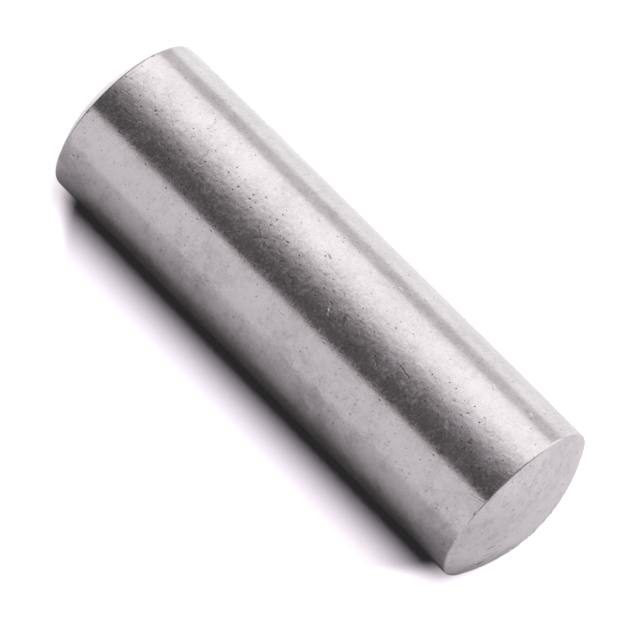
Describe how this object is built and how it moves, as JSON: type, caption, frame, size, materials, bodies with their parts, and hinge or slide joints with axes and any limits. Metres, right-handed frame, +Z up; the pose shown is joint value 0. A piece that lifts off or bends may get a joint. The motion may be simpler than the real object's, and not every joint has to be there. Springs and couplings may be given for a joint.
{
  "type": "dowel pin",
  "caption": "Straight ground steel dowel pin with a plain cylindrical shank and shallow domed ends, for locating or pinning reamed holes.",
  "frame": {"origin": "on the axis, at the middle of the shank", "axes": "+X along the pin's axis, +Z up when the pin lies on its side"},
  "size_m": [0.0328, 0.01, 0.01],
  "materials": {
    "tumbled_steel": "hardened steel, ground and tumbled to a satin sheen, with fine random scratches and small pits"
  },
  "bodies": {
    "root": {"pin": "tumbled_steel"}
  },
  "joints": []
}
